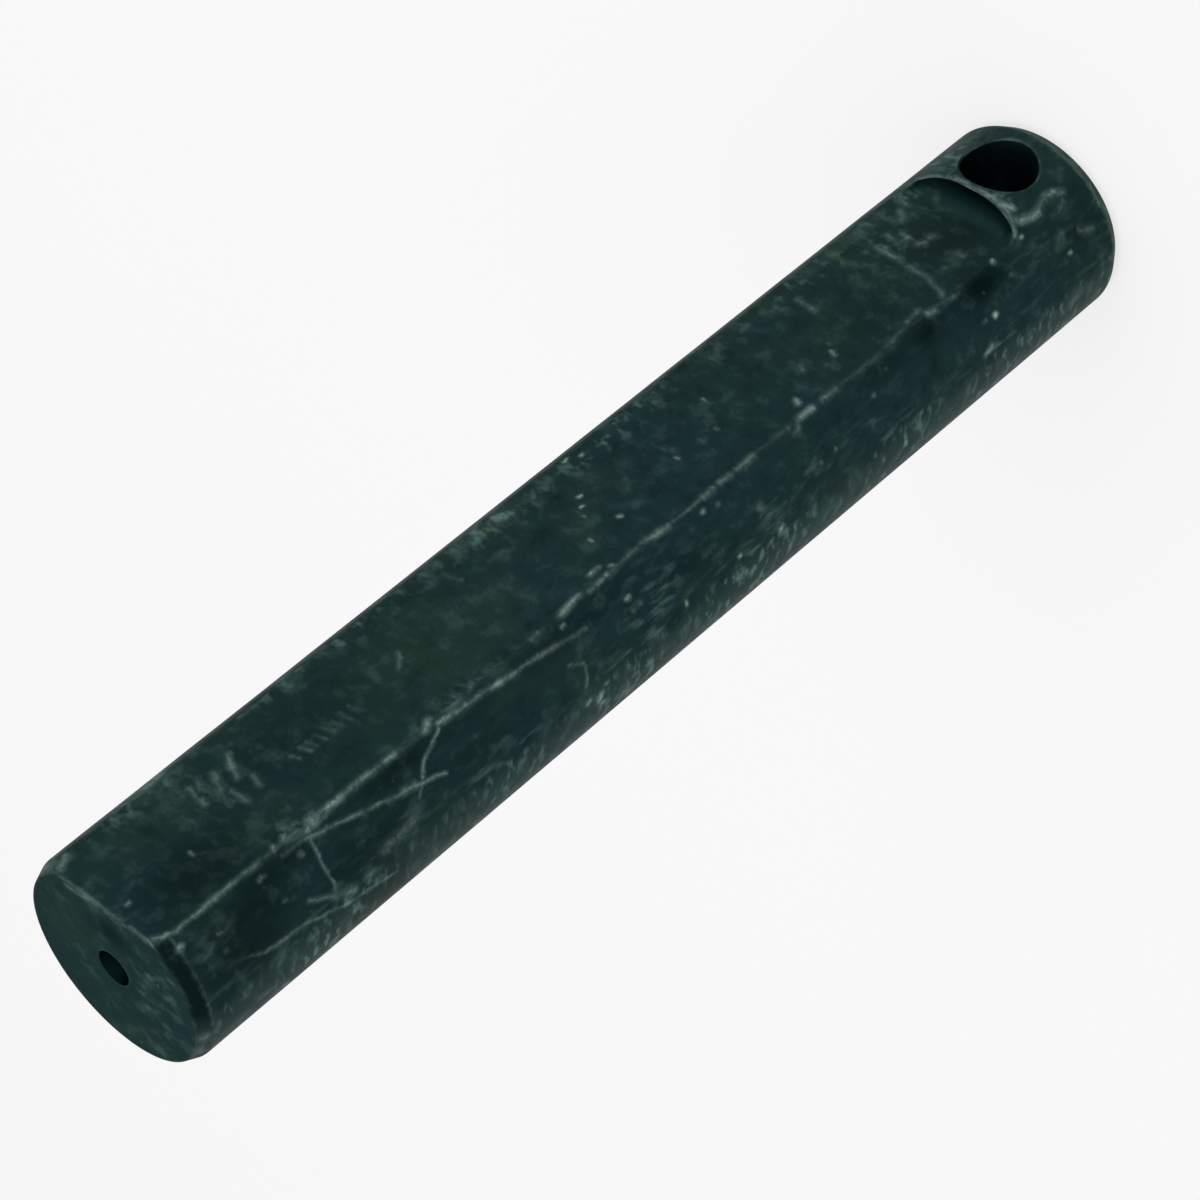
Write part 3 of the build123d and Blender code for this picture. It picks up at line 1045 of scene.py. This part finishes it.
def makeSteel(finishName):
    finish = steelFinishes[finishName]
    steel = bpy.data.materials.new(finish["name"])
    add = startTree(steel)
    smooth = {"interpolation_type": "SMOOTHSTEP"}
    centred = (0.5, 0.5, 0.5)

    place = add("TexCoord").outputs["Object"]
    place = add("VectorMath MULTIPLY", place, (1 / millimetre,) * 3)
    sheetPlace = add("Attribute", attribute_name="sheet").outputs["Vector"]
    casts = add("Attribute", attribute_name="casts").outputs["Vector"]
    casts = add("SeparateXYZ", casts).outputs
    clouds = add("TexNoise", place, 1 / blackOxide["cloudSize"], 2.0)
    cloud = add("SeparateColor", clouds.outputs["Color"]).outputs
    mottles = add("TexNoise", place, 1 / blackOxide["mottleSize"], 4.0, 0.62)
    mottle = add("SeparateColor", mottles.outputs["Color"]).outputs
    grains = add("TexNoise", place, 1 / blackOxide["grainSize"], 2.0, 0.6)
    grain = add("SeparateColor", grains.outputs["Color"]).outputs

    # marks wander a little, and are broken up along their length
    wander = add("VectorMath SUBTRACT", mottles.outputs["Color"], centred)
    jitter = add("VectorMath SUBTRACT", grains.outputs["Color"], centred)
    markPlace = add("VectorMath MULTIPLY_ADD", wander, markBands["wander"], sheetPlace)
    markPlace = add("VectorMath MULTIPLY_ADD", jitter, markBands["jitter"], markPlace)
    markPlace = add("VectorMath MULTIPLY", markPlace, onSheet)
    marks = drawMarks(add, markPlace)
    patchy = add("MapRange", mottle[1], 0.38, 0.62, 0.3, 1.15, **smooth)
    broken = add("MapRange", grain[1], 0.34, 0.6, 0.65, 1.1, **smooth)
    broken = add("Math MULTIPLY", broken, patchy)
    worn = add("Math MULTIPLY", marks, broken)

    # ridges rubbed bright in patches
    away = add("Attribute", attribute_name="ridgeDistance").outputs["Fac"]
    away = add("Math MULTIPLY_ADD", grain[2], 0.5, away)
    ridge = add("MapRange", away, 0.22, 0.62, 1.0, 0.0, **smooth)
    ridgeWear = add("Attribute", attribute_name="ridgeWear").outputs["Fac"]
    ridge = add("Math MULTIPLY", ridge, ridgeWear)
    ridgePatch = add("MapRange", mottle[2], 0.4, 0.62, 0.15, 1.0, **smooth)
    ridge = add("Math MULTIPLY", ridge, ridgePatch)
    bare = add("Math MAXIMUM", worn, ridge)

    rub = 0.0
    if finish["rubbing"]:
        # specks where the coat is chipped, ragged at their edges
        speckPlace = add("VectorMath MULTIPLY_ADD", jitter, centred, place)
        cells = add("TexVoronoi", speckPlace, 1 / blackOxide["speckSpacing"])
        cellDraw = add("SeparateColor", cells.outputs["Color"]).outputs
        size = add("Math MULTIPLY_ADD", cellDraw[0], 0.15, 0.08)
        speck = add("MapRange", cells.outputs["Distance"], 0.0, size, 1.0, 0.0, **smooth)
        chipped = add("MapRange", cellDraw[1], 0.72, 0.98, 0.0, 0.55)
        speck = add("Math MULTIPLY", speck, chipped)
        bare = add("Math MAXIMUM", bare, speck)

        # rub marks that lean with the work, strongest where it was handled
        rubs = []
        for lean, lengths in finish["rubbing"]:
            spacing = tuple(1 / length for length in lengths)
            rubPlace = add("Mapping", place, sockets={"Rotation": lean, "Scale": spacing})
            rubs.append(add("TexNoise", rubPlace, 1.0, 2.0, 0.5))
        carried = add("MapRange", casts["X"], 0.75, 1.2, 0.0, 1.0, **smooth)
        rub = add("Mix", carried, rubs[0], rubs[-1])
        rub = add("MapRange", rub, 0.47, 0.76, 0.0, 1.0, **smooth)
        rubPatch = add("MapRange", cloud[2], 0.36, 0.62, 0.3, 1.1, **smooth)
        rub = add("Math MULTIPLY", rub, rubPatch)
        rub = add("Math MULTIPLY", rub, casts["X"])

    # layers of colour over the coat's teal, and no bare steel where casts Z darkens it: the
    # dark patches, and the painted shade in the flat's root and the centre drilling
    undarkened = add("MapRange", casts["Z"], 0.3, 1.0, 1.0, 0.0)
    bare = add("Math MULTIPLY", bare, undarkened)
    bare = add("Math MULTIPLY", bare, 0.55, use_clamp=True)
    cloudy = add("MapRange", cloud[1], 0.5, 0.72, 0.0, 0.25, **smooth)
    oliveCast = add("Math MULTIPLY", casts["Y"], patchy)
    oilAndPaintedShade = add("MapRange", mottle[0], 0.5, 0.72, 0.0, 0.35, **smooth)
    # casts Z adds the dark patches and the painted shade of the root and the centre drilling to
    # the deep colour
    oilAndPaintedShade = add("Math MAXIMUM", oilAndPaintedShade, casts["Z"])
    thin = add("MapRange", mottle[0], 0.3, 0.48, 0.16, 0.0, **smooth)
    # past 1 on casts X the coat is lightened: painted sheen on the round side, where a glancing
    # view catches light, and lighter rubbing on the foot's rim and the strongest patches
    hazeAndPaintedSheen = add("MapRange", casts["X"], 1.0, 2.0, 0.0, 0.2)
    thin = add("Math ADD", thin, hazeAndPaintedSheen)
    rubbed = add("Math MULTIPLY_ADD", rub, 0.75, thin)
    layers = {
        "blue": add("MapRange", cloud[0], 0.36, 0.66, 0.0, 1.0, **smooth),
        "olive": add("Math MAXIMUM", cloudy, oliveCast),
        "deep": add("Math MAXIMUM", oilAndPaintedShade, finish["deep"]),
        "rubbedCoat": add("Math MULTIPLY", rubbed, undarkened, use_clamp=True),
        "bareSteel": bare,
    }
    colour = toLinear(blackOxide["teal"])
    for name, share in layers.items():
        colour = add("Mix", share, colour, toLinear(blackOxide[name]), data_type="RGBA")
    varied = blackOxide["roughnessSpread"]
    smoothest = blackOxide["roughness"] - varied / 2
    roughness = add("Math MULTIPLY_ADD", mottle[0], varied, smoothest)
    smoother = blackOxide["bareRoughness"] - blackOxide["roughness"]
    roughness = add("Math MULTIPLY_ADD", bare, smoother, roughness)

    # fine grain everywhere, over the lines that the tool left
    if finish["lines"]:
        spacing = tuple(1 / apart for apart in finish["lines"])
        linePlace = add("VectorMath MULTIPLY", place, spacing)
        lines = add("TexNoise", linePlace, 1.0, 2.0)
    else:
        fromAxis = add("VectorMath MULTIPLY", place, (1.0, 1.0, 0.0))
        fromAxis = add("VectorMath LENGTH", fromAxis)
        lines = add("TexNoise", fromAxis, 1 / faceRingSpacing, 2.0, noise_dimensions="1D")
    relief = add("Math MULTIPLY", lines, blackOxide["lineRelief"])
    relief = add("Math MULTIPLY_ADD", grain[0], blackOxide["grainRelief"], relief)
    relief = add("Math MULTIPLY_ADD", mottle[0], blackOxide["mottleRelief"], relief)
    bump = add("Bump", sockets={"Strength": 1.0, "Distance": millimetre, "Height": relief})
    look = {"Base Color": colour, "Metallic": blackOxide["metallic"], "Roughness": roughness}
    look.update({"Specular Tint": finish["edgeTint"], "Normal": bump})
    surface = add("BsdfPrincipled", sockets=look)
    add("OutputMaterial", surface)
    print(finish["name"], "material:", len(steel.node_tree.nodes), "nodes")
    return steel


for finishName in finishNames:
    pinMesh.materials.append(makeSteel(finishName))

# Pale matt floor and plain soft studio light
studio = {
    "floorSize": 6.0,
    "floor": "#f4f4f3",
    "floorGlow": 0.72,  # share of plain white that the camera and the metal see
    "worldLight": 0.6,
    "softboxes": [
        # name, place, aim, side, watts
        ("overheadSoftbox", (-0.15, -0.25, 1.2), (0, 0, 0.06), 0.8, 5.0),
        ("frontSoftbox", (0.2, -1.0, 0.35), (0, 0, 0.06), 0.7, 1.2),
    ],
}
half = studio["floorSize"] / 2
floorMesh = bpy.data.meshes.new("studioFloor")
floorCorners = [(-half, -half, 0), (half, -half, 0), (half, half, 0), (-half, half, 0)]
floorMesh.from_pydata(floorCorners, [], [(0, 1, 2, 3)])
floor = addObject("studio_floor", floorMesh)


def seenDirectly(add):
    rays = add("LightPath").outputs
    seen = add("Math MAXIMUM", rays["Is Camera Ray"], rays["Is Glossy Ray"])
    return add("Math MAXIMUM", seen, rays["Is Transmission Ray"])


paper = bpy.data.materials.new("mattPaperFloor")  # matt coated paper, no sheen
add = startTree(paper)
matt = add("BsdfDiffuse", toLinear(studio["floor"]))
glow = add("Emission", (1, 1, 1, 1), 1.0)
glowShare = add("Math MULTIPLY", seenDirectly(add), studio["floorGlow"])
mixed = add("MixShader", glowShare, matt, glow)
add("OutputMaterial", mixed)
floorMesh.materials.append(paper)

world = bpy.data.worlds.new("studioWorld")
bpy.context.scene.world = world
add = startTree(world)
shine = add("MapRange", seenDirectly(add), 0.0, 1.0, studio["worldLight"], 1.0)
sky = add("Background", (1, 1, 1, 1), shine)
add("OutputWorld", sky)

for name, spot, aim, side, watts in studio["softboxes"]:
    lamp = bpy.data.lights.new(name, "AREA")
    lamp.shape = "SQUARE"
    lamp.size = side
    lamp.energy = watts
    lampObject = addObject(name, lamp)
    lampObject.location = spot
    toAim = Vector(aim) - Vector(spot)
    lampObject.rotation_euler = toAim.to_track_quat("-Z", "Y").to_euler()
print("floor, world and softboxes placed")

# Camera at the photograph's viewing angle
viewCamera = {
    "aim": (-1.842, 1.265, 70.435),
    "distance": 372.83,
    "heading": 55.527,
    "pitch": -29.763,
    "roll": -129.53,
    "lens": 117.107,
    "sensor": 36.0,
}
heading = math.radians(viewCamera["heading"])
pitch = math.radians(viewCamera["pitch"])
level = math.cos(pitch)
forward = Vector((math.cos(heading) * level, math.sin(heading) * level, math.sin(pitch)))
cameraData = bpy.data.cameras.new("viewCamera")
cameraData.lens = viewCamera["lens"]
cameraData.sensor_width = viewCamera["sensor"]
cameraData.clip_start = 0.01
cameraData.clip_end = 20.0
camera = addObject("viewCamera", cameraData)
camera.location = (Vector(viewCamera["aim"]) - forward * viewCamera["distance"]) * millimetre
camera.rotation_mode = "QUATERNION"
rolled = Quaternion((0, 0, 1), math.radians(viewCamera["roll"]))
camera.rotation_quaternion = forward.to_track_quat("-Z", "Y") @ rolled
bpy.context.scene.camera = camera
bpy.context.scene.view_settings.view_transform = "Standard"
print("camera placed")
